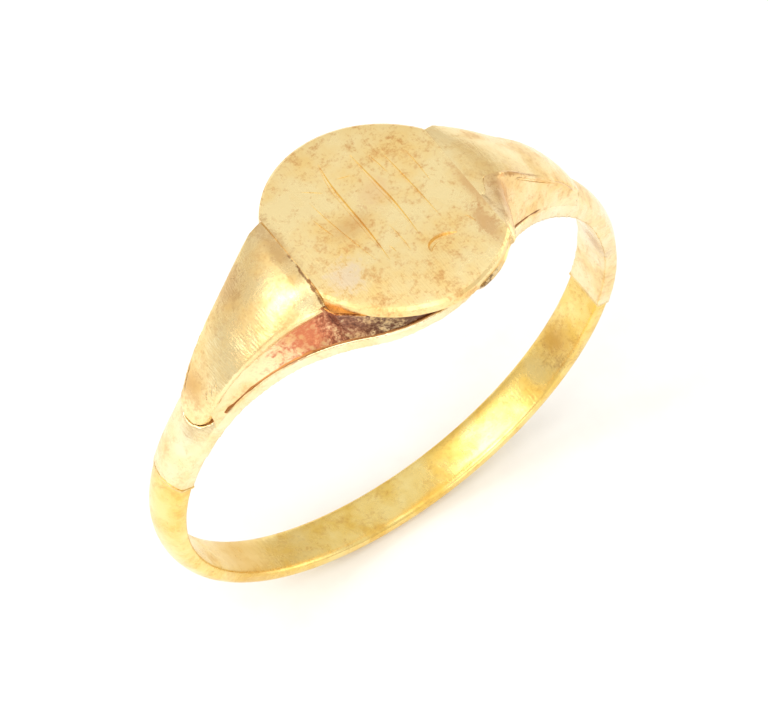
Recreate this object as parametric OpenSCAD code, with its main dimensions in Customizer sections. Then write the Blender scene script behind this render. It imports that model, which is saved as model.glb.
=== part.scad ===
// Signet ring, bench made: a soldered stack of band, gallery, face plate and shoulder leaves.
// Millimetres. The origin is the centre of the finger bore, the bore runs along Y, and the
// face looks along +Z. Angles round the finger are measured from +Z towards +X.

/* [Finger] */
// Inside diameter of the ring
bore_d = 17.5; // [17:0.1:18]

/* [Shank] */
// Width of the shank along the finger
shank_w = 1.7; // [1.5:0.1:2]
// Thickness of the shank at the crown of its D section
shank_t = 0.82; // [0.7:0.02:1]
// Thickness of the band at its edges
edge_t = 0.5; // [0.4:0.02:0.6]
// Angle of the resizing seam on the left
seam_left = 72.5; // [66:0.5:85]
// Angle of the resizing seam on the right
seam_right = 104; // [90:1:130]

/* [Head] */
// Height of the face above the bore
head_h = 1.75; // [1.7:0.05:1.9]
// Width of the band under the head, along the finger
head_w = 6.85; // [6.4:0.05:7.2]
// Longest measure of the oval face
face_l = 8.3; // [8.1:0.1:8.5]
// Shortest measure of the oval face
face_s = 7.2; // [7.1:0.1:7.4]
// Angle by which the oval is turned on the band
face_turn = 45; // [35:1:50]
// Shift of the oval towards the right shoulder
face_shift = 0.25; // [0.2:0.05:0.3]
// Width of the face between its two straight sides
face_w = 6.3; // [6:0.1:6.5]
// Thickness of the face plate
plate_t = 0.45; // [0.4:0.05:0.7]
// Width of the bevel round the face
bevel = 0.26; // [0.1:0.02:0.3]

/* [Shoulder leaves] */
// Angle that each leaf reaches down the side
leaf_reach = 55; // [53:0.5:57]
// Half width of a leaf at its root, on the near side
root_near = 1.7; // [1.5:0.05:1.9]
// Half width of a leaf at its root, on the far side
root_far = 2.8; // [2.2:0.1:3]
// Half width of a leaf at its waist, on the near side
waist_near = 0.9; // [0.85:0.05:1]
// Half width of a leaf at its waist, on the far side
waist_far = 1.6; // [1.2:0.05:1.8]
// Radius of the rounded tip of a leaf
tip_hw = 0.7; // [0.6:0.05:0.8]
// Thickness of a leaf
leaf_t = 0.42; // [0.35:0.01:0.5]
// Radius of the arc of a leaf, seen from the side
leaf_arc_r = 8; // [7.5:0.25:9]
// Radius of the crown across a leaf
leaf_crown_r = 3.4; // [3:0.1:4]

/* [Solder] */
// Thickness of the solder films
film = 0.08; // [0.06:0.01:0.1]

/* [Hidden] */

bore_r = bore_d / 2;
band_r = bore_r + edge_t;            // top of the flat part of the band
crown_r = bore_r + shank_t;          // top of the D section
base_r = band_r + film;              // underside of the gallery and of the leaf tips
face_z = bore_r + head_h;            // height of the seal face
roof_z = face_z - plate_t - film;    // top of the gallery under the plate
hw = shank_w / 2;
d_r = (hw * hw + pow(shank_t - edge_t, 2)) / (2 * (shank_t - edge_t)); // crown radius of the D
seam_gap = 0.6;                      // angle taken up by a sizing seam
crown_start = 48;                    // angle at which the gallery ends and the D section starts
far = 40;                            // longer than the ring in every direction

// A bell outline has a round middle, hollow flanks and parallel arms.
// Each bell is [half width at the middle, radius of the middle, radius of the flanks, arm]
band_bell = [head_w / 2, 4.5, 12, hw];
near_bell = [3.3, 3.7, 5.5, 0.85];
far_bell = [3.5, 3.9, 6, 1];

// Half width of a bell outline at a distance x from the middle
function bell(b, x) = let (
    drop = b[1] - b[0],
    yc = b[3] + b[2],
    xc = sqrt(pow(b[1] + b[2], 2) - pow(yc + drop, 2)),
    meet = xc * b[1] / (b[1] + b[2]),
    d = abs(x))
    d < meet ? sqrt(b[1] * b[1] - d * d) - drop
        : d < xc ? yc - sqrt(b[2] * b[2] - pow(xc - d, 2)) : b[3];

// A leaf lies along an arc from the side of the face plate down to its tip
root = [face_w / 2, face_z - 0.1];
tip = (base_r + 0.28) * [sin(leaf_reach), cos(leaf_reach)];
leaf_l = norm(tip - root);
leaf_dir = (tip - root) / leaf_l;
leaf_out = [-leaf_dir[1], leaf_dir[0]];
leaf_c = (root + tip) / 2 - leaf_out * sqrt(pow(leaf_arc_r, 2) - pow(leaf_l / 2, 2));
leaf_tilt = atan2(-leaf_dir[1], leaf_dir[0]);

// Runs a flat shape, drawn in X and Z, right through the ring along Y
module along_finger() {
    rotate([90, 0, 0]) linear_extrude(height = far, center = true) children();
}

// A disc about the finger axis
module disc(r) {
    rotate([90, 0, 0]) cylinder(r = r, h = far, center = true, $fn = 180);
}

// Everything between two angles round the finger
module sector(from, to) {
    parts = ceil((to - from) / 30);
    along_finger() polygon(concat([[0, 0]],
        [for (i = [0:parts]) let (a = from + (to - from) * i / parts) far * [sin(a), cos(a)]]));
}

// The D section of the shank, swept between two angles
module d_shank(from, to) {
    rotate([90, 0, 0]) rotate([0, 0, 90 - to]) rotate_extrude(angle = to - from, $fn = 180)
        intersection() {
            translate([crown_r - d_r, 0]) circle(d_r, $fn = 96);
            translate([bore_r, -hw]) square([shank_t, shank_w]);
        }
}

// Everything inside the outline of the band, seen from above
module band_outline(inset = 0) {
    xs = [for (i = [-40:40]) i / 4];
    linear_extrude(height = far, center = true) polygon(concat(
        [for (x = xs) [x, bell(band_bell, x) - inset]],
        [for (x = xs) [-x, inset - bell(band_bell, x)]]));
}

// The outline of a leaf, seen square to the shoulder: root at x = 0, tip at x = leaf_l
function leaf_side(root_hw, waist, grow) = [for (i = [0:10]) let (t = i / 10)
    [(leaf_l - tip_hw) * t,
        tip_hw + (waist - tip_hw) * (1 - t * t) + (root_hw - waist) * pow(1 - t, 3) + grow]];

module leaf_shape(grow) {
    near = leaf_side(root_near, waist_near, grow);
    far_side = leaf_side(root_far, waist_far, grow);
    polygon(concat(
        [[-1.5, root_far + grow]], far_side,
        [for (a = [80:-10:-80]) [leaf_l - tip_hw, 0] + (tip_hw + grow) * [cos(a), sin(a)]],
        [for (i = [10:-1:0]) [near[i][0], -near[i][1]]], [[-1.5, -root_near - grow]]));
}

// Everything inside the outline of a leaf, clear of the face plate
module leaf_column(grow = 0) {
    intersection() {
        translate([root[0], 0, root[1]]) rotate([0, leaf_tilt, 0])
            translate([0, 0, -4]) linear_extrude(height = 8) leaf_shape(grow);
        translate([face_w / 2 + film, -far / 2, 0]) cube([far, far, far]);
    }
}

// Everything under the crowned surface of a leaf, sunk by a depth
module under_crown(depth) {
    translate([leaf_c[0], 0, leaf_c[1]]) rotate([90, 0, 0]) rotate_extrude($fn = 180)
        intersection() {
            translate([leaf_arc_r - leaf_crown_r, 0]) union() {
                circle(leaf_crown_r - depth, $fn = 96);
                translate([-far, depth - leaf_crown_r])
                    square([far, 2 * (leaf_crown_r - depth)]);
            }
            translate([0, -far / 2]) square([far, far]);
        }
}

module leaf() {
    difference() {
        intersection() {
            leaf_column();
            under_crown(0);
        }
        under_crown(leaf_t);
        disc(base_r);
    }
}

module leaf_solder() {
    difference() {
        intersection() {
            leaf_column(film / 2);
            union() {
                under_crown(leaf_t);
                disc(base_r);
            }
        }
        under_crown(leaf_t + film);
        disc(band_r);
        intersection() {
            disc(base_r);
            sector(-crown_start, crown_start);
        }
    }
}

module upper_band() color("#efe0b4") difference() {
    union() {
        intersection() {
            disc(band_r);
            band_outline();
            sector(-seam_left, seam_right);
        }
        difference() {
            union() {
                d_shank(-seam_left, -crown_start);
                d_shank(crown_start, seam_right);
            }
            for (side = [0, 1]) mirror([side, 0, 0]) leaf_column(film / 2);
        }
    }
    disc(bore_r);
}

module lower_shank() color("#e6cd78")
    d_shank(seam_right + seam_gap, 360 - seam_left - seam_gap);

module left_sizing_solder() color("#cfae62")
    d_shank(360 - seam_left - seam_gap, 360 - seam_left);

module right_sizing_solder() color("#cfae62")
    d_shank(seam_right, seam_right + seam_gap);

// The oval of the face between its straight sides
module face_outline(inset = 0) {
    intersection() {
        translate([face_shift, 0]) rotate(face_turn) polygon([for (a = [0:5:355])
            [(face_s / 2 - inset) * cos(a), (face_l / 2 - inset) * sin(a)]]);
        square([face_w - 2 * inset, far], center = true);
    }
}

module table_plate() color("#eed898") hull() {
    translate([0, 0, face_z - plate_t]) linear_extrude(height = plate_t - bevel) face_outline();
    translate([0, 0, face_z - plate_t]) linear_extrude(height = plate_t) face_outline(bevel);
}

// The gallery is a loft of upright sections set round the finger
neck_hollow = 0.22;                  // depth of the hollow in its flanks
levels = 6;                          // steps up each flank
foot_r = base_r + 0.004;             // its foot, whose flat facets just clear the solder
crests = 5;                          // points across the top between the flanks
plate_angle = atan2(face_w / 2, roof_z) - 1.6;       // end of the flat top under the plate
leaf_angle = atan2(face_w / 2 + film, roof_z);       // start of its top under a leaf
under_r = leaf_crown_r - leaf_t - film;              // crown radius of the film under a leaf
stations = concat(
    [for (i = [10:-1:0]) -leaf_angle - (crown_start - leaf_angle) * i / 10],
    [for (i = [-6:6]) plate_angle * i / 6],
    [for (i = [0:10]) leaf_angle + (crown_start - leaf_angle) * i / 10]);

// Distance from the finger axis to the film under a leaf, at a place y along the finger
function leaf_roof(angle, y) = let (
    along = leaf_c * [sin(abs(angle)), cos(angle)],
    r = leaf_arc_r - leaf_crown_r + sqrt(under_r * under_r - y * y))
    along + sqrt(along * along - leaf_c * leaf_c + r * r);

function neck_roof(angle, y) = abs(angle) < leaf_angle ? roof_z / cos(angle)
    : leaf_roof(angle, y);

function round_finger(angle, r, y) = [r * sin(angle), y, r * cos(angle)];

// Half width of the top of the neck, on the near side (-1) or the far side (1).
// Towards the tip of a leaf it narrows so that the top stays above the base.
function neck_top_hw(angle, side) = let (r = neck_roof(angle, 0))
    min(bell(side < 0 ? near_bell : far_bell, r * sin(angle)),
        abs(angle) < leaf_angle ? far : sqrt(2 * under_r * (r - base_r - 0.03)));

// A point on a flank, from the foot at level 0 up to the roof
function flank_point(angle, level, side) = let (
    t = level / levels,
    low = bell(band_bell, base_r * sin(angle)) - 0.1,
    high = neck_top_hw(angle, side),
    top = neck_roof(angle, high),
    r = foot_r + (top - foot_r) * t)
    round_finger(angle, r, side * (low + (high - low) * t - neck_hollow * sin(180 * t)));

// A point across the top of the neck, from the near side to the far side
function crest_point(angle, i) = let (
    near = -neck_top_hw(angle, -1),
    y = near + (neck_top_hw(angle, 1) - near) * i / (crests + 1))
    round_finger(angle, neck_roof(angle, y), y);

module gallery() color("#c98a62") {
    rows = len(stations);
    n = 2 * (levels + 1) + crests;
    points = [for (a = stations) each concat(
        [for (j = [0:levels]) flank_point(a, j, -1)],
        [for (i = [1:crests]) crest_point(a, i)],
        [for (j = [levels:-1:0]) flank_point(a, j, 1)])];
    faces = concat(
        [for (i = [0:rows - 2]) for (j = [0:n - 1]) let (k = (j + 1) % n)
            [i * n + j, i * n + k, (i + 1) * n + k, (i + 1) * n + j]],
        [[for (j = [n - 1:-1:0]) j], [for (j = [0:n - 1]) (rows - 1) * n + j]]);
    polyhedron(points, faces);
}

// The top of the neck, seen from above
module neck_top() {
    xs = [for (i = [-16:16]) i / 5];
    polygon(concat([for (x = xs) [x, bell(far_bell, x)]], [for (x = xs) [-x, -bell(near_bell, x)]]));
}

module table_solder() color("#b08040") translate([0, 0, roof_z])
    linear_extrude(height = film) intersection() {
        square([face_w, far], center = true);
        neck_top();
    }

module gallery_solder() color("#b08040") difference() {
    intersection() {
        band_outline(0.06);
        sector(-crown_start, crown_start);
        disc(base_r);
    }
    disc(band_r);
}

module left_shoulder_leaf() color("#e8cf90") mirror([1, 0, 0]) leaf();
module right_shoulder_leaf() color("#e8cf90") leaf();
module left_leaf_solder() color("#b08040") mirror([1, 0, 0]) leaf_solder();
module right_leaf_solder() color("#b08040") leaf_solder();

upper_band();
lower_shank();
gallery();
table_plate();
left_shoulder_leaf();
right_shoulder_leaf();
table_solder();
gallery_solder();
left_leaf_solder();
right_leaf_solder();
left_sizing_solder();
right_sizing_solder();
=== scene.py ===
# %% [markdown]
# # A worn gold signet ring
# A signet ring is built up from several pieces of sheet and wire: a band cut wide under the
# face, a hollow-sided gallery on top of it, a flat face plate, a leaf of metal over each
# shoulder, and a D-section shank let in with two sizing seams. Hard solder holds them.
# This lesson loads the exact model of those pieces as a fixed frame. It then gives them what
# an exact model lacks: edges rounded by years of wear, a scratched face, and gold that has
# stained and rubbed bright. The frame never moves, so every new piece is made in its place.

# %% Load the fixed frame
import math
import bpy
from mathutils import Matrix, Vector, noise


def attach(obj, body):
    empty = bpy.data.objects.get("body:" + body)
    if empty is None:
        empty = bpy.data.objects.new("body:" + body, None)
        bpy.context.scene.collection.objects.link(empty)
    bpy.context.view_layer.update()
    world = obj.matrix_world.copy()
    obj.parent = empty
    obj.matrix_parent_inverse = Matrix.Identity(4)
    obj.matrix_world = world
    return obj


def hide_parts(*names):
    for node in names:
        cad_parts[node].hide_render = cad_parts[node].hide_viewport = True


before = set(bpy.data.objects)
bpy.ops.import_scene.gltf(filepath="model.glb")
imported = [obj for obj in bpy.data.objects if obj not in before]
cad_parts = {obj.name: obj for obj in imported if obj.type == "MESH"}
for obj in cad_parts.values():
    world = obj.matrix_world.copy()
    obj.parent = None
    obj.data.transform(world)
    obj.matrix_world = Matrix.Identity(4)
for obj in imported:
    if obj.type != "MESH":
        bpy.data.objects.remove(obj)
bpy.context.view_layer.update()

# %% [markdown]
# ## Millimetres at the bench, metres in the frame
# The frame is in metres, and a ring is only 0.02 of one. Blender's merge distances and voxel
# sizes stop at a tenth of a millimetre at that scale. So each piece is worked a thousand
# times larger, one unit to the millimetre, and shrunk to metres when it is finished.

# %% Sizes that several pieces share, in mm
# One millimetre in the frame's metres
MM = 0.001
# Distances from the finger's axis: the bore, the band's outside and the dome of the shank
BORE_R = 8.75
BAND_R = 9.25
CROWN_R = 9.57
# The face: its height over the axis, the oval's long and short axes, the width between its
# straight sides, and how far right of the middle the oval lies
FACE_Z = 10.5
FACE_L = 8.3
FACE_S = 7.2
FACE_W = 6.3
FACE_SHIFT = 0.25
print("bore", 2 * BORE_R, "mm, face", FACE_Z, "mm over its axis")

# %% Helpers for working on one piece


def only(piece):
    """Makes piece the one selected and active object."""
    bpy.ops.object.select_all(action="DESELECT")
    piece.select_set(True)
    bpy.context.view_layer.objects.active = piece


def edit(piece):
    """Opens piece in edit mode with all of it selected."""
    only(piece)
    bpy.ops.object.mode_set(mode="EDIT")
    bpy.ops.mesh.select_all(action="SELECT")


def modify(piece, kind, **settings):
    """Adds a modifier with its settings and applies it at once."""
    only(piece)
    modifier = piece.modifiers.new(kind.title(), kind)
    for key, value in settings.items():
        setattr(modifier, key, value)
    bpy.ops.object.modifier_apply(modifier=modifier.name)


def bench_copy(node, name):
    """A merged copy of a frame node's mesh, a thousand times larger, as a new object."""
    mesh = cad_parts[node].data.copy()
    mesh.materials.clear()
    mesh.transform(Matrix.Scale(1 / MM, 4))
    piece = bpy.data.objects.new(name, mesh)
    bpy.context.scene.collection.objects.link(piece)
    edit(piece)
    bpy.ops.mesh.remove_doubles(threshold=0.002)
    bpy.ops.object.mode_set(mode="OBJECT")
    return piece


def finish_piece(piece, material, slot, *stands_for):
    """Shrinks a finished piece to metres, and gives it its material, body and nodes. The slot is
    not used.
    """
    only(piece)
    bpy.ops.object.transform_apply(location=True, rotation=True, scale=True)
    piece.data.transform(Matrix.Scale(MM, 4))
    piece.data.name = piece.name
    piece.data.materials.clear()
    piece.data.materials.append(material)
    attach(piece, "root")
    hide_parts(*stands_for)
    print(piece.name, len(piece.data.polygons), "faces")


# %% [markdown]
# ## Camera, floor and light
# The ring stands on its shank on a pale sheet in a light tent. It is seen from the left front
# and well above, through a long lens, so its far side is hardly smaller than its near side.

# %% Camera
AIM = Vector((0.48, 0.86, 0.0)) * MM
DISTANCE = 138.4 * MM
TURN = math.radians(32.85)
RISE = math.radians(59.7)
ROLL = math.radians(-2.6)

towards = Vector((math.sin(TURN) * math.cos(RISE), math.cos(TURN) * math.cos(RISE),
                  -math.sin(RISE)))
camera = bpy.data.objects.new("camera", bpy.data.cameras.new("camera"))
bpy.context.scene.collection.objects.link(camera)
camera.data.lens = 187.5
camera.data.sensor_width = 36
camera.data.clip_start = 0.001
camera.location = AIM - DISTANCE * towards
camera.rotation_euler = (towards.to_track_quat("-Z", "Y").to_matrix()
                         @ Matrix.Rotation(ROLL, 3, "Z")).to_euler()
bpy.context.scene.camera = camera
print("camera at", [round(v / MM, 1) for v in camera.location], "mm")

# %% One way to add a shader node


def add(tree, kind, inputs=None, **settings):
    """Adds a node, sets it, and feeds its inputs with values or with other nodes' sockets."""
    node = tree.nodes.new(kind)
    for key, value in settings.items():
        setattr(node, key, value)
    for key, value in (inputs or {}).items():
        # Some nodes keep several sockets of one name and hide those of other types
        socket = node.inputs[key] if isinstance(key, int) else next(
            one for one in node.inputs if one.name == key and one.enabled)
        if isinstance(value, bpy.types.NodeSocket):
            tree.links.new(value, socket)
        else:
            socket.default_value = value
    return node


def linear(code):
    """Turns an sRGB colour such as #f0d796 to the linear values that shaders use."""
    parts = [int(code[i:i + 2], 16) / 255 for i in (1, 3, 5)]
    return [c / 12.92 if c <= 0.04045 else ((c + 0.055) / 1.055) ** 2.4 for c in parts] + [1]


def stops(node, *pairs):
    """Sets a colour ramp's stops, each a position and a colour."""
    ramp = node.color_ramp
    while len(ramp.elements) < len(pairs):
        ramp.elements.new(1)
    for element, (place, colour) in zip(ramp.elements, pairs):
        element.position = place
        element.color = linear(colour)
    return node


# %% Floor
bpy.ops.mesh.primitive_plane_add(size=3, location=(0, 0, -CROWN_R * MM))
floor = bpy.context.object
floor.name = "floor"
bpy.ops.object.transform_apply(location=True, rotation=True, scale=True)
# Uncoated white card: it scatters light with no shine, so it gives the eye an even, bright
# ground with only a soft shadow, and a tone that wavers a little with the grain of the paper
paper = bpy.data.materials.new("matt_white_card")
paper.use_nodes = True
grain = add(paper.node_tree, "ShaderNodeTexNoise",
            {"Vector": add(paper.node_tree, "ShaderNodeTexCoord").outputs["Object"],
             "Scale": 900.0, "Detail": 4.0})
tone = stops(add(paper.node_tree, "ShaderNodeValToRGB", {"Fac": grain.outputs["Fac"]}),
             (0.3, "#f6f6f5"), (0.7, "#fbfbfa"))
card = paper.node_tree.nodes["Principled BSDF"]
card.inputs["Roughness"].default_value = 0.9
paper.node_tree.links.new(tone.outputs["Color"], card.inputs["Base Color"])
floor.data.materials.append(paper)
print("floor at", -CROWN_R, "mm")

# %% World and lights
scene = bpy.context.scene
scene.view_settings.view_transform = "Standard"
world = bpy.data.worlds.new("light_tent")
scene.world = world
world.use_nodes = True
tent = world.node_tree
background = tent.nodes["Background"]
direction = add(tent, "ShaderNodeSeparateXYZ",
                {0: add(tent, "ShaderNodeTexCoord").outputs["Generated"]})
walls = stops(add(tent, "ShaderNodeValToRGB", {"Fac": direction.outputs["Z"]}),
              (0.0, "#efebe6"), (0.25, "#e3dad0"), (0.6, "#f8f6f3"), (1.0, "#fdfdfd"))
tent.links.new(walls.outputs["Color"], background.inputs["Color"])
background.inputs["Strength"].default_value = 0.95


def softbox(name, turn, rise, away, size, brightness):
    """A square area light, turned and raised in degrees, of a size and a distance in mm."""
    data = bpy.data.lights.new(name, "AREA")
    data.size = size * MM
    data.energy = brightness * math.pi * (size * MM) ** 2
    light = bpy.data.objects.new(name, data)
    scene.collection.objects.link(light)
    a, e = math.radians(turn), math.radians(rise)
    out = Vector((math.sin(a) * math.cos(e), -math.cos(a) * math.cos(e), math.sin(e)))
    light.location = out * away * MM
    light.rotation_euler = (-out).to_track_quat("-Z", "Y").to_euler()
    print(name, round(data.energy, 4), "W")


softbox("left_softbox", turn=-95, rise=50, away=180, size=150, brightness=2.2)
softbox("top_softbox", turn=30, rise=78, away=220, size=120, brightness=0.8)
softbox("front_softbox", turn=-20, rise=22, away=200, size=130, brightness=1.4)
softbox("right_softbox", turn=72, rise=12, away=200, size=110, brightness=1.1)

# %% [markdown]
# ## Gold
# The ring is 9 carat gold, an alloy with silver and copper. It was rolled and cast, filed and
# polished, then worn: the polish has gone satin, acids and dirt have stained it brown in
# blotches a millimetre across, and the colour has a fine speckle. The shank was replaced in a
# yellower alloy. All these golds share one recipe with different colours, stains and spots; some
# spots are painted shade, painted shadow or painted reflection.

# %% The gold recipe


def gold(name, pale, deep, stain, rough=(0.16, 0.34), bump=0.25, spots=(), stained=0.45):
    """A worn gold that wavers between a pale and a deep colour, and between two roughnesses.

    stained is the strength of its general stain. A spot has a middle and three radii in mm,
    a strength and a colour.
    """
    material = bpy.data.materials.new(name)
    material.use_nodes = True
    tree = material.node_tree
    metal = tree.nodes["Principled BSDF"]
    metal.inputs["Metallic"].default_value = 1.0
    place = add(tree, "ShaderNodeMapping",
                {"Vector": add(tree, "ShaderNodeTexCoord").outputs["Object"],
                 "Scale": (1 / MM,) * 3}).outputs["Vector"]
    # Soft clouds about 1.5 mm across, where one rubbed patch is paler than the next
    clouds = add(tree, "ShaderNodeTexNoise",
                 {"Vector": place, "Scale": 0.7, "Detail": 3.0, "Roughness": 0.6})
    base = stops(add(tree, "ShaderNodeValToRGB", {"Fac": clouds.outputs["Fac"]}),
                 (0.36, pale), (0.64, deep))
    # Stain gathers in blotches of 0.5 mm with ragged edges, broken into specks of 0.12 mm
    blotch = add(tree, "ShaderNodeTexNoise",
                 {"Vector": place, "Scale": 2.1, "Detail": 6.0, "Roughness": 0.65,
                  "Distortion": 0.6})
    fine = add(tree, "ShaderNodeTexNoise",
               {"Vector": place, "Scale": 7.5, "Detail": 4.0, "Roughness": 0.75})
    mottle = 0.0
    for texture, weight in ((blotch, 0.4), (fine, 0.4), (clouds, 0.2)):
        mottle = add(tree, "ShaderNodeMath", {0: texture.outputs["Fac"], 1: weight, 2: mottle},
                     operation="MULTIPLY_ADD").outputs[0]
    mask = add(tree, "ShaderNodeMapRange",
               {"Value": mottle, "From Min": 0.5, "From Max": 0.63,
                "To Max": stained}).outputs["Result"]
    colour = add(tree, "ShaderNodeMix", {"Factor": mask, "A": base.outputs["Color"],
                                         "B": linear(stain)}, data_type="RGBA")
    # Mottle is about 0.5, so six times it makes a spot's edge ragged, and the spot is full to
    # 0.2 of its radii and gone by 1.15
    for middle, radii, strength, tint in spots:
        away = add(tree, "ShaderNodeVectorMath", {0: place, 1: middle},
                   operation="SUBTRACT").outputs["Vector"]
        away = add(tree, "ShaderNodeVectorMath", {0: away, 1: radii},
                   operation="DIVIDE").outputs["Vector"]
        away = add(tree, "ShaderNodeVectorMath", {0: away}, operation="LENGTH").outputs["Value"]
        ragged = add(tree, "ShaderNodeMath", {0: mottle, 1: 6.0, 2: away},
                     operation="MULTIPLY_ADD").outputs[0]
        near = add(tree, "ShaderNodeMapRange",
                   {"Value": ragged, "From Min": 3.2, "From Max": 4.15,
                    "To Min": strength, "To Max": 0.0},
                   interpolation_type="SMOOTHSTEP").outputs["Result"]
        colour = add(tree, "ShaderNodeMix", {"Factor": near, "A": colour.outputs["Result"],
                                             "B": linear(tint)}, data_type="RGBA")
    tree.links.new(colour.outputs["Result"], metal.inputs["Base Color"])
    polish = add(tree, "ShaderNodeMapRange",
                 {"Value": clouds.outputs["Fac"], "From Min": 0.3, "From Max": 0.7,
                  "To Min": rough[0], "To Max": rough[1]})
    # Stain dulls the polish
    duller = add(tree, "ShaderNodeMath", {0: mask, 1: 0.22, 2: polish.outputs["Result"]},
                 operation="MULTIPLY_ADD", use_clamp=True)
    tree.links.new(duller.outputs[0], metal.inputs["Roughness"])
    # Hair scratches 0.05 mm wide, mostly along the finger
    drawn = add(tree, "ShaderNodeMapping", {"Vector": place, "Scale": (1.0, 0.12, 1.0),
                                            "Rotation": (0.0, 0.0, 0.25)})
    hairs = add(tree, "ShaderNodeTexNoise",
                {"Vector": drawn.outputs["Vector"], "Scale": 14.0, "Detail": 2.0})
    relief = add(tree, "ShaderNodeMath",
                 {0: fine.outputs["Fac"], 1: hairs.outputs["Fac"]}, operation="ADD")
    skin = add(tree, "ShaderNodeBump", {"Height": relief.outputs[0], "Strength": bump,
                                        "Distance": 0.02 * MM})
    tree.links.new(skin.outputs["Normal"], metal.inputs["Normal"])
    print("material", name)
    return material


# %% Mix the golds


def ball(radius):
    """Three equal radii."""
    return (radius,) * 3


# Rubbed band: pale and satin, so its highlights are broad and soft, almost white
band_gold = gold("rubbed_pale_gold", "#fbecc4", "#f6dda2", "#cf9a62",
                 spots=[((8.6, -0.3, 1.2), ball(0.7), 0.5, "#b9824e")])
# The shank's newer alloy: a stronger yellow, whose colour tells the eye where the seams are
shank_gold = gold("yellow_shank_gold", "#f9e094", "#efca68", "#bd8540",
                  spots=[((8.8, 0.2, -1.6), ball(0.9), 0.55, "#c08a44"),
                         ((7.4, 0.1, -4.7), ball(1.1), 0.6, "#b98340"),
                         ((-6.4, 0.0, -5.9), ball(2.2), 0.45, "#c9964c")])
# Dirt has packed into the near end of the joint between the plate and the left leaf
joint_dirt = ((-3.2, -0.75, 10.4), (0.06, 1.15, 1.5), 0.9, "#8a5830")
# and along the filed edge of the right leaf
edge_dirt = ((4.9, -0.71, 9.2), (1.5, 0.07, 1.4), 0.8, "#b07840")
# Painted shade lies on the far side where the left leaf rises to the plate
ridge_painted_shade = ((-3.35, 1.1, 10.3), (0.4, 1.5, 1.5), 0.5, "#c08a52")
# The face: duller and more stained, so it shows its scratches and no clear reflection
face_gold = gold("scratched_face_gold", "#fde6aa", "#f7d68e", "#c98c4e",
                 rough=(0.24, 0.38), bump=0.45, stained=0.75,
                 # The first two spots, brown along the plate's right side, are painted shade
                 # where the face turns into the right leaf and its flank; the ridge spot is
                 # painted shade too
                 spots=[((2.7, -2.2, 10.5), (0.35, 1.0, 0.8), 0.5, "#c8844c"),
                        ((3.15, -0.8, 10.5), (0.35, 1.2, 0.8), 0.5, "#cf9258"),
                        ((-0.9, 0.3, 10.5), (0.9, 0.5, 0.8), 0.4, "#cf9a5e"),
                        ((-2.15, -1.2, 10.5), ball(0.7), 0.65, "#f3dcc0"),
                        ((0.4, 0.9, 10.5), ball(0.6), 0.3, "#e8b88c"), ridge_painted_shade, joint_dirt])
# The leaves: as warm as the face but brighter, so each domed crown carries a highlight
leaf_gold = gold("worn_leaf_gold", "#fde8b0", "#f7d690", "#c48a4c", bump=0.4,
                 # The first spot, on the far slope of the left leaf's crown, is painted shade;
                 # the ridge spot is painted shade too
                 spots=[((-5.0, 1.4, 9.1), ball(0.9), 0.5, "#c08a52"),
                        ((-7.2, 0.3, 6.6), ball(0.9), 0.5, "#bd8144"),
                        ((4.8, -0.9, 9.2), ball(0.8), 0.4, "#cf9c60"), ridge_painted_shade, joint_dirt,
                        edge_dirt])
# The gallery: a general tarnish in its hollows, and spots of painted light: painted reflection
# and painted shade on the near left flank, painted shadow under the plate's near edge, painted
# shade by its near right corner
gallery_gold = gold("tarnished_gallery_with_painted_shade", "#fde6b4", "#f4d08e", "#b87a48",
                    rough=(0.18, 0.36), stained=0.55, bump=0.4,
                    # Painted reflection, red-brown, then painted shade, brown, on the near left
                    # flank
                    spots=[((-3.75, -1.5, 9.1), (1.4, 2.2, 1.8), 0.9, "#cb6c4c"),
                           ((-2.6, -2.0, 9.4), (1.1, 2.2, 1.8), 0.9, "#96583f"),
                           # Painted shadow, dark brown, under the plate's near edge
                           ((-0.9, -3.0, 9.7), (2.3, 3.0, 2.2), 0.97, "#5e3a2a"),
                           ((0.6, -3.2, 9.6), (1.2, 2.0, 2.0), 0.95, "#5e3a2a"),
                           # Painted shade by the plate's near right corner, then dirt along the
                           # filed edge
                           ((3.9, -1.5, 9.8), (0.8, 1.2, 0.9), 0.55, "#c48c54"), edge_dirt])
# Hard solder: low in gold, so it tarnishes and draws each joint as a dark line
solder = gold("dark_hard_solder", "#b98450", "#9c6636", "#5a3a22", rough=(0.35, 0.5))
# The sizing seams' solder: near the golds in colour but duller, so a seam is a faint line
seam_solder = gold("sizing_solder", "#f4dda0", "#e8c982", "#b98c4c", rough=(0.25, 0.4))

# %% [markdown]
# ## Worn pieces
# The band and the leaves already have their true shapes in the frame. What they lack is wear.
# A merged copy of each is rebuilt as a fine, even skin of voxels, which can be smoothed like
# clay, so that its edges turn round and its faces ripple a little, as hand-filed gold does.

# %% Wear a copy of a node


RIPPLE_PER_MM = 0.55


def worn(node, name, voxel, rounds, ripple, seed):
    """A copy of a node in voxels, smoothed in rounds, with ripples as deep as ripple, in mm."""
    piece = bench_copy(node, name)
    modify(piece, "REMESH", mode="VOXEL", voxel_size=voxel)
    modify(piece, "SMOOTH", factor=0.5, iterations=rounds)
    outward = [v.normal.copy() for v in piece.data.vertices]
    for v, normal in zip(piece.data.vertices, outward):
        v.co += normal * ripple * noise.noise(v.co * RIPPLE_PER_MM + Vector((seed, 0, 0)))
    only(piece)
    bpy.ops.object.shade_smooth()
    return piece


# %% Wear the band, and close its ends on the sizing seams
# Angles from the top, in degrees: the seams, how near one the band is drawn over, and how far
SEAM_LEFT = 72.5
SEAM_RIGHT = 104.0
DRAWN_FROM = 1.2
DRAWN_BY = 0.4


def eased(t):
    """A smooth step from 0 to 1 as t goes from 0 to 1."""
    t = min(1.0, max(0.0, t))
    return t * t * (3 - 2 * t)


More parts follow.
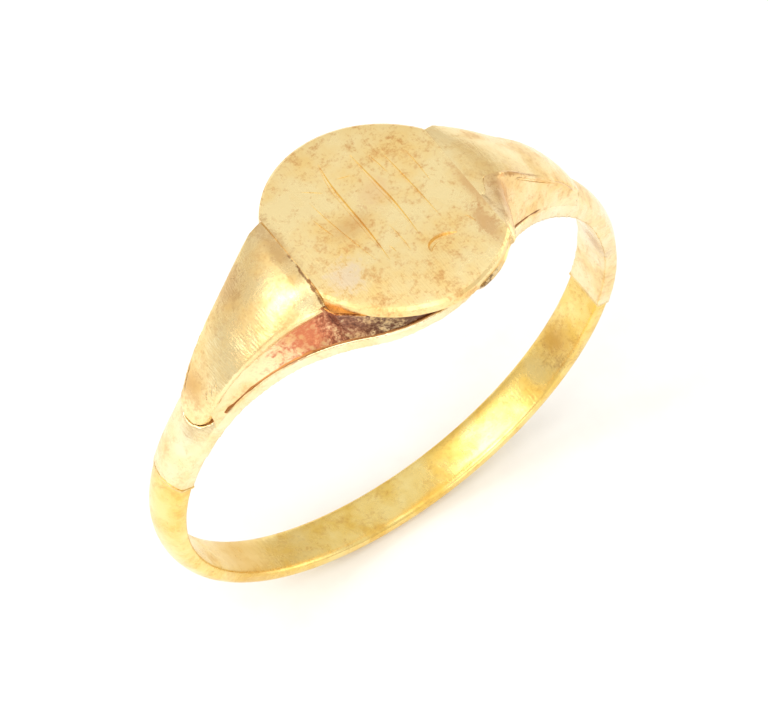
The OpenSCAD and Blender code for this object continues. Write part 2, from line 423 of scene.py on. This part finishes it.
band = worn("upper_band", "worn_band", voxel=0.06, rounds=5, ripple=0.03, seed=3.0)
for v in band.data.vertices:
    angle = math.degrees(math.atan2(v.co.x, v.co.z))
    for seam, side in ((-SEAM_LEFT, -1), (SEAM_RIGHT, 1)):
        pull = eased(1 - side * (seam - angle) / DRAWN_FROM) * DRAWN_BY * side
        v.co.rotate(Matrix.Rotation(math.radians(pull), 3, "Y"))
finish_piece(band, band_gold, "band_gold", "upper_band")

# %% [markdown]
# ## Leaves that have worn into the plate
# Where a leaf meets the face plate, rubbing has brought the two to one level, so that only
# part of the joint still shows, as a fine line by the near corner on the left. The root of
# each leaf is drawn up to the face there and run a little way into the plate. On the right
# the near edge has been filed back to a slanting line, above a flat facet.

# %% The form of a leaf
# Its root and tip as seen from the front, x across and z up, then the radius of its arch and
# the radius of its crown from side to side
LEAF_ROOT = Vector((FACE_W / 2, 10.4))
LEAF_TIP = 9.61 * Vector((math.sin(math.radians(55)), math.cos(math.radians(55))))
LEAF_LONG = (LEAF_TIP - LEAF_ROOT).length
LEAF_ALONG = (LEAF_TIP - LEAF_ROOT) / LEAF_LONG
LEAF_ARC = 8.0
LEAF_CROWN = 3.4
LEAF_CENTRE = ((LEAF_ROOT + LEAF_TIP) / 2 - Vector((-LEAF_ALONG.y, LEAF_ALONG.x))
               * math.sqrt(LEAF_ARC ** 2 - (LEAF_LONG / 2) ** 2))


def leaf_top(angle, y):
    """Distance from the finger's axis to the crown of a leaf."""
    ray = Vector((math.sin(abs(angle)), math.cos(angle)))
    along = LEAF_CENTRE.dot(ray)
    r = LEAF_ARC - LEAF_CROWN + math.sqrt(LEAF_CROWN ** 2 - y * y)
    return along + math.sqrt(along ** 2 - LEAF_CENTRE.length_squared + r * r)


LEAF_TIP_R = 0.7


def leaf_edge(x, z, root, waist):
    """Half width of a leaf, by how far along it a point lies."""
    t = (Vector((abs(x), z)) - LEAF_ROOT).dot(LEAF_ALONG) / (LEAF_LONG - LEAF_TIP_R)
    t = min(1.0, max(0.0, t))
    return LEAF_TIP_R + (waist - LEAF_TIP_R) * (1 - t * t) + (root - waist) * (1 - t) ** 3


def filed_edge(x):
    """The filed near edge of the right leaf: it turns in past the corner, then widens."""
    return 1.7 - 1.1 * eased((x - 3.1) / 0.6) + 0.1 * max(0.0, x - 3.7)


# %% Wear the leaves
# The leaves come up to this level, a hair under the face
LEVEL = FACE_Z - 0.004
# The rise dies away over this length, and only skin that looks up this much takes part
RISE_LONG = 2.6
FACES_UP = 0.15
# Past the corner the far edge may widen by this slope, and the root runs this far into the plate
CORNER_SLOPE = 0.3
INTO_PLATE = 0.4
# The share that is left of what stood past the filed edge
FILED_LEFT = 0.06


def root_rise(past):
    """How far a leaf's root is drawn up to the plate, 1 at the joint and 0 well past it."""
    return min(1.0, max(0.0, 1 - past / RISE_LONG)) ** 1.6


def meet_plate(leaf, side, corner, drop, fade_from, fade_over):
    """Draws a leaf's root up to the plate and a little way into it.

    The far edge is kept within corner, the level drops towards it, and the rise fades in from
    the near edge.
    """
    outward = [v.normal.copy() for v in leaf.data.vertices]
    for v, normal in zip(leaf.data.vertices, outward):
        past = v.co.x * side - LEAF_ROOT.x
        rise = root_rise(past) * eased((v.co.y - fade_from) / fade_over)
        if normal.z > FACES_UP:
            level = LEVEL - drop * max(0.0, v.co.y) ** 2
            v.co.z += max(0.0, level - v.co.z) * rise
        v.co.y = min(v.co.y, corner + CORNER_SLOPE * max(0.0, past))
        v.co.x -= side * INTO_PLATE * eased((0.55 - past) / 0.5)


left_leaf = worn("left_shoulder_leaf", "worn_left_leaf",
                 voxel=0.045, rounds=14, ripple=0.05, seed=11.0)
meet_plate(left_leaf, side=-1, corner=2.3, drop=0.02, fade_from=-1.6, fade_over=1.3)
right_leaf = worn("right_shoulder_leaf", "worn_right_leaf",
                  voxel=0.045, rounds=14, ripple=0.05, seed=17.0)
meet_plate(right_leaf, side=1, corner=2.05, drop=0.045, fade_from=-1.9, fade_over=0.9)
# What stands past the filed edge is pressed in to a flat facet
for v in right_leaf.data.vertices:
    edge_y = -filed_edge(v.co.x)
    if v.co.y < edge_y:
        v.co.y = edge_y + FILED_LEFT * (v.co.y - edge_y)
print("leaf", round(LEAF_LONG, 2), "mm long")

# %% [markdown]
# ## The gallery
# The gallery carries the plate. Its flanks are hollow: a round file was run along them from
# the face's edge down to the band, and on each shoulder the solder flowed out of the leaf's
# joint in a fillet that was filed with them. Its upright sections are drawn as loops, two for
# each degree round the finger, and bridged into one solid.

# %% Outlines of the head, seen from above
# Outlines for bell(): the foot on the band, and the neck under the plate on each side
FAR, NEAR = 1, -1
FOOT = (3.425, 4.5, 12, 0.85)
NECK = {FAR: (3.5, 3.9, 6, 1), NEAR: (3.3, 3.7, 5.5, 0.85)}
# Half width of a leaf at its root and at its waist, on each side
LEAF_HALF = {FAR: (2.8, 1.6), NEAR: (1.7, 0.9)}


def bell(x, top, round_r, flank_r, arm):
    """Half width of an outline with a round middle, hollow flanks and straight arms."""
    drop = round_r - top
    centre = arm + flank_r
    reach = math.sqrt((round_r + flank_r) ** 2 - (centre + drop) ** 2)
    x = abs(x)
    if x < reach * round_r / (round_r + flank_r):
        return math.sqrt(round_r ** 2 - x * x) - drop
    return centre - math.sqrt(flank_r ** 2 - (reach - x) ** 2) if x < reach else arm


def plate_near(x):
    """Half width of the plate's oval on its near side."""
    x -= FACE_SHIFT
    narrow, wide = (FACE_S / 2) ** 2, (FACE_L / 2) ** 2
    mean, lean = (narrow + wide) / 2, (wide - narrow) / 2
    spread = (mean - lean * lean / mean) * max(0.0, 1 - x * x / mean)
    return lean / mean * x + math.sqrt(spread)


# %% The four points that shape a flank
# Distance from the axis at which leaf and neck are read, depth under the face of the
# gallery's top, and, in degrees, where the flanks have run out into the band and over how much
HEAD_R = 10
SEAT = 0.44
FLANK_END = 53
FLANK_FADE = 5
# The plate's corner, and where the filed flank turns from the plate to the leaf
CORNER_X = FACE_W / 2
TURN_X = 3.0
TURN_OVER = 0.1


def flank(angle, side):
    """Foot, brow, bend and top of a flank: distance from the axis, place along the finger."""
    x, z = HEAD_R * math.sin(angle), HEAD_R * math.cos(angle)
    # The foot stands on the band by the plate, and is sunk in it further out
    sunk = eased((abs(x) - 3.5) / 1.5)
    foot = Vector((BAND_R + 0.075 - 0.1 * sunk,
                   bell(BAND_R * math.sin(angle), *FOOT) - 0.1 + 0.07 * sunk))
    under = (FACE_Z - SEAT) / math.cos(angle)
    ending = eased((FLANK_END - abs(math.degrees(angle))) / FLANK_FADE)
    neck = bell(x, *NECK[side])
    if angle > 0 and side == NEAR:
        # The flank comes out past the plate's near corner, and is flat beyond it
        x = min(FACE_Z * math.tan(angle), leaf_top(angle, 0) * math.sin(angle))
        wide = filed_edge(x)
        crown = leaf_top(angle, wide)
        level = LEVEL / math.cos(angle) - 0.03
        crown += max(0.0, level - crown) * root_rise(x - CORNER_X)
        # Towards the corner the brow comes out to the rim of the plate, which hides low, the
        # seat under it; past the corner the brow sinks into the flat facet below the leaf
        out = eased((x - 0.5) / 2.2)
        rim = plate_near(min(x, CORNER_X))
        brow = Vector((under + 0.06 - 0.16 * out, rim + 0.06 * out))
        low = Vector((under, neck)).lerp(Vector((under + 0.14, rim - 0.3)), out)
        on_leaf = eased((x - TURN_X) / TURN_OVER)
        top = low.lerp(Vector((crown, wide)), on_leaf)
        brow = low.lerp(brow, eased((x - 0.5) / 1.0))
        brow = brow.lerp(foot.lerp(top, 0.6), eased((x - 3.2) / 1.3))
        # Just past the corner the bend is kept up, level with the face
        high = Vector((level, brow.y - 0.45))
        bend = brow.lerp(top, 0.5)
        bend = bend.lerp(high, on_leaf * eased((4.4 - x) / 1.2))
        return tuple(foot.lerp(point, ending) for point in (foot, brow, bend, top))
    # Elsewhere the top lies under the plate, and passes under the leaf just inside its edge
    wide = leaf_edge(x, z, *LEAF_HALF[side]) - 0.04
    crown = leaf_top(angle, wide)
    leaf = eased((abs(x) - 2.9) / 0.3)
    top = Vector((under + (crown - under) * leaf, neck + (wide - neck) * leaf))
    top = foot.lerp(top, ending)
    inner = top - Vector((0.05, 0.2))
    return foot, top, top.lerp(inner, 0.5), inner


# %% Sections of the gallery
# How hollow a flank is between foot and brow: filed round, or flat on the near right from an
# angle in radians
HOLLOW = 0.5
FLAT = 0.05
FLAT_FROM = 0.2


def arc(start, pull, end, steps):
    """Points along a curve that leaves start, and reaches end, aimed at pull."""
    return [start * (1 - t) ** 2 + pull * 2 * t * (1 - t) + end * t * t
            for t in (i / steps for i in range(steps + 1))]


def section(angle):
    """A closed loop of points round one upright section."""
    loop = []
    for side in (NEAR, FAR):
        foot, brow, bend, top = flank(angle, side)
        hollow = FLAT if side == NEAR and angle > FLAT_FROM else HOLLOW
        pull = foot + Vector(((brow.x - foot.x) * (0.5 - 0.4 * hollow),
                              (brow.y - foot.y) * (0.5 + 0.42 * hollow)))
        part = arc(foot, pull, brow, 12) + arc(brow, bend, top, 8)[1:]
        part = [(p.x, side * p.y) for p in part]
        loop += part if side == NEAR else part[::-1]
    return [(r * math.sin(angle), y, r * math.cos(angle)) for r, y in loop]


# %% Bridge the sections
PER_DEGREE = 2
LAST_SECTION = 105
angles = [math.radians(a / PER_DEGREE) for a in range(-LAST_SECTION, LAST_SECTION + 1)]
loops = [section(a) for a in angles]
around = len(loops[0])
mesh = bpy.data.meshes.new("filed_gallery")
mesh.from_pydata([p for loop in loops for p in loop],
                 [(n * around + i, n * around + (i + 1) % around)
                  for n in range(len(loops)) for i in range(around)], [])
gallery = bpy.data.objects.new("filed_gallery", mesh)
bpy.context.scene.collection.objects.link(gallery)
edit(gallery)
bpy.ops.mesh.bridge_edge_loops(type="SINGLE")
bpy.ops.mesh.select_all(action="DESELECT")
bpy.ops.mesh.select_non_manifold()
bpy.ops.mesh.edge_face_add()
bpy.ops.mesh.select_all(action="SELECT")
bpy.ops.mesh.normals_make_consistent(inside=False)
bpy.ops.object.mode_set(mode="OBJECT")
# Filing left waves a millimetre long and ripples a third of that, each 0.02 mm deep
outward = [v.normal.copy() for v in gallery.data.vertices]
for v, normal in zip(gallery.data.vertices, outward):
    v.co += normal * (0.02 * noise.noise(v.co * 1.1) + 0.022 * noise.noise(v.co * 3.7))
only(gallery)
bpy.ops.object.shade_smooth_by_angle(angle=math.radians(45))
print("gallery", [round(v, 2) for v in gallery.dimensions], "mm")

# %% [markdown]
# ## Scratches
# Grit has cut fine grooves, mostly along the finger. Each is cut with a thin round wire that
# lies along the skin and tapers to nothing at its ends, taken away with a Boolean modifier.

# %% A scratch cutter
# Thickness of a wire's ends as a share of its middle's
WIRE_END = 0.15


def scratch(piece, width, *paths):
    """Cuts scratches along paths, given in mm, into the nearest skin of a piece."""
    wires = []
    for path in paths:
        curve = bpy.data.curves.new("wire", "CURVE")
        curve.dimensions = "3D"
        curve.bevel_depth = width / 2
        curve.bevel_resolution = 1
        curve.use_fill_caps = True
        spline = curve.splines.new("NURBS")
        spline.points.add(len(path) - 1)
        for i, (point, place) in enumerate(zip(spline.points, path)):
            skin = piece.closest_point_on_mesh(Vector(place))[1]
            point.co = (*skin, 1)
            point.radius = WIRE_END if i in (0, len(path) - 1) else 1.0
        spline.order_u = 3
        spline.use_endpoint_u = True
        spline.resolution_u = 6
        wire = bpy.data.objects.new("wire", curve)
        bpy.context.scene.collection.objects.link(wire)
        only(wire)
        bpy.ops.object.convert(target="MESH")
        wires.append(bpy.context.object)
    only(wires[0])
    for wire in wires:
        wire.select_set(True)
    if len(wires) > 1:
        bpy.ops.object.join()
    cutter = bpy.context.object
    modify(piece, "BOOLEAN", operation="DIFFERENCE", solver="EXACT", use_self=True,
           object=cutter)
    bpy.data.objects.remove(cutter)
    print(piece.name, len(paths), "scratches,", len(piece.data.polygons), "faces")


# %% Scratch and finish the leaves
HAIR = 0.05
FINE = 0.1
scratch(left_leaf, HAIR,
        [(-7.42, -0.75, 6.4), (-7.3, -0.5, 6.7), (-7.2, -0.3, 6.95)],
        [(-7.25, -0.75, 6.75), (-7.1, -0.55, 7.0), (-7.0, -0.3, 7.25)],
        [(-7.05, -0.75, 7.1), (-6.9, -0.5, 7.4), (-6.85, -0.4, 7.5)],
        [(-6.6, 1.05, 7.6), (-7.13, 0.8, 6.9), (-7.54, 0.57, 6.21), (-7.85, 0.1, 5.58)],
        [(-4.75, 1.55, 9.2), (-4.6, 1.3, 9.35), (-4.4, 1.25, 9.5)])
# The joint of leaf and gallery still shows along the filed edge
edge_line = [(3.64, -0.6, 10.15), (4.62, -0.69, 9.6), (5.74, -0.8, 8.5), (6.4, -0.86, 7.8)]
scratch(right_leaf, FINE, edge_line)
scratch(gallery, FINE, edge_line)
finish_piece(left_leaf, leaf_gold, "leaf_gold", "left_shoulder_leaf")
finish_piece(right_leaf, leaf_gold, "leaf_gold", "right_shoulder_leaf")
finish_piece(gallery, gallery_gold, "gallery_gold", "gallery")

# %% [markdown]
# ## The face plate
# The plate was sawn from flat sheet as an oval set askew, and its two sides were cut straight
# where the leaves meet it. The oval rims were bevelled with a file. A circle is stretched to
# the oval, bisected at the straight sides, extruded to the sheet's thickness and bevelled.

# %% Cut the plate
PLATE_T = 0.45
# Wear has taken this much off the face, and filing these much off its rim
FACE_WORN = 0.01
RIM_BEVEL = 0.26
RIM_FILED = 0.12
bpy.ops.object.select_all(action="DESELECT")
bpy.ops.mesh.primitive_circle_add(vertices=144, radius=1, fill_type="NGON",
                                  location=(FACE_SHIFT, 0, FACE_Z - PLATE_T),
                                  rotation=(0, 0, math.radians(45)))
plate = bpy.context.object
plate.name = "scratched_plate"
plate.scale = (FACE_S / 2, FACE_L / 2, 1)
bpy.ops.object.transform_apply(location=True, rotation=True, scale=True)
edit(plate)
for side in (-1, 1):
    bpy.ops.mesh.select_all(action="SELECT")
    bpy.ops.mesh.bisect(plane_co=(side * FACE_W / 2, 0, 0), plane_no=(side, 0, 0),
                        clear_outer=True)
bpy.ops.mesh.select_all(action="SELECT")
bpy.ops.mesh.extrude_region_move(
    TRANSFORM_OT_translate={"value": (0, 0, PLATE_T - FACE_WORN)})
bpy.ops.mesh.select_all(action="SELECT")
bpy.ops.mesh.normals_make_consistent(inside=False)
bpy.ops.mesh.select_all(action="DESELECT")
bpy.ops.object.mode_set(mode="OBJECT")
bpy.context.tool_settings.mesh_select_mode = (False, True, False)
# Only the oval rim of the top is bevelled, not the straight sides
for e in plate.data.edges:
    a, b = (plate.data.vertices[i].co for i in e.vertices)
    on_top = min(a.z, b.z) > FACE_Z - 0.02
    on_side = min(abs(a.x), abs(b.x)) > FACE_W / 2 - 0.001
    e.select = on_top and not on_side
bpy.ops.object.mode_set(mode="EDIT")
bpy.ops.mesh.bevel(offset=RIM_BEVEL, segments=3, profile=0.55, clamp_overlap=True)
bpy.ops.object.mode_set(mode="OBJECT")
bpy.context.tool_settings.mesh_select_mode = (True, False, False)
# Filing has brought the near right of the rim further in
for v in plate.data.vertices:
    filed = eased((v.co.x - 0.3) / 1.8) * eased((-v.co.y - 0.8) / 1.5)
    v.co.y += RIM_FILED * filed
print("plate", [round(v, 2) for v in plate.dimensions], "mm")

# %% Scratch and finish the plate
BROAD = 0.16
HOOK = 0.24


def on_face(*paths):
    """Paths on the face, from their x and y alone."""
    return [[(x, y, FACE_Z) for x, y in path] for path in paths]


scratch(plate, BROAD, *on_face(
    [(-0.45, 2.85), (-0.62, 2.1), (-0.62, 1.05), (-0.6, -0.35), (-0.64, -1.5)],
    [(0.6, 2.55), (0.64, 1.35), (0.74, 0.0), (0.68, -1.3)],
    [(1.5, 1.9), (1.57, 0.5), (1.64, -1.05)]))
scratch(plate, HOOK, *on_face(
    [(0.62, -2.02), (0.68, -1.82), (1.0, -1.7), (1.4, -1.76), (1.7, -1.88)]))
scratch(plate, FINE, *on_face(
    [(-1.52, 1.8), (-1.44, 0.7), (-1.0, -1.2)],
    [(-1.8, 1.2), (-1.72, 0.7), (-1.6, 0.3)],
    [(2.17, 1.65), (2.2, 0.9), (2.16, 0.25)],
    [(-0.3, 2.05), (-0.1, 1.95), (0.15, 1.9)],
    [(-1.5, 2.3), (-1.2, 2.05), (-0.95, 1.85)],
    [(1.1, 2.2), (1.15, 1.7), (1.22, 1.3)],
    [(0.1, -0.4), (0.15, -1.0), (0.12, -1.6)],
    [(-0.36, -1.05), (-0.3, -1.2), (-0.3, -1.35)],
    [(2.3, -1.5), (2.4, -1.7), (2.45, -1.9)]))
only(plate)
bpy.ops.object.shade_smooth_by_angle(angle=math.radians(28))
finish_piece(plate, face_gold, "face_gold", "table_plate")

# %% [markdown]
# ## The shank
# The lower shank is D-section wire bent round and soldered in. A flat outline of the section
# is drawn once and spun about the finger's axis.

# %% Spin the shank
SHANK_W = 1.7
# The seams' solder takes this much of the circle at each end, in degrees
SEAM_GAP = 0.6
# Power of the rounded square that the section starts as: 2 is a circle, and more is squarer
SQUARENESS = 5
bpy.ops.object.select_all(action="DESELECT")
bpy.ops.mesh.primitive_circle_add(vertices=48, radius=0.5, fill_type="NOTHING")
shank = bpy.context.object
shank.name = "spun_shank"
half = SHANK_W / 2
dome = (half * half + (CROWN_R - BAND_R) ** 2) / (2 * (CROWN_R - BAND_R))
for v in shank.data.vertices:
    turn = math.atan2(v.co.y, v.co.x)
    # A rounded box, whose top edge follows the dome of the D
    flat = Vector((math.cos(turn), math.sin(turn)))
    squared = flat / (abs(flat.x) ** SQUARENESS + abs(flat.y) ** SQUARENESS) ** (1 / SQUARENESS)
    y = squared.x * half
    top = CROWN_R - dome + math.sqrt(dome * dome - y * y)
    r = (BORE_R + top) / 2 + squared.y * (top - BORE_R) / 2
    v.co = Vector((0, y, r))
begin = math.radians(SEAM_RIGHT + SEAM_GAP)
sweep = math.radians(360 - SEAM_LEFT - SEAM_RIGHT - 2 * SEAM_GAP)
shank.data.transform(Matrix.Rotation(begin, 4, "Y"))
edit(shank)
bpy.ops.mesh.edge_face_add()
bpy.ops.mesh.spin(steps=160, angle=-sweep, center=(0, 0, 0), axis=(0, 1, 0))
bpy.ops.mesh.select_all(action="SELECT")
bpy.ops.mesh.remove_doubles(threshold=0.0005)
bpy.ops.mesh.normals_make_consistent(inside=False)
bpy.ops.object.mode_set(mode="OBJECT")
bpy.ops.object.shade_smooth_by_angle(angle=math.radians(50))
finish_piece(shank, shank_gold, "shank_gold", "lower_shank")

# %% Give the frame's own pieces their gold
for name, material in (("table_solder", solder),
                       ("gallery_solder", solder), ("left_leaf_solder", solder),
                       ("right_leaf_solder", solder), ("left_sizing_solder", seam_solder),
                       ("right_sizing_solder", seam_solder)):
    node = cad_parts[name]
    node.data.materials.clear()
    node.data.materials.append(material)
    print(name, "->", material.name)
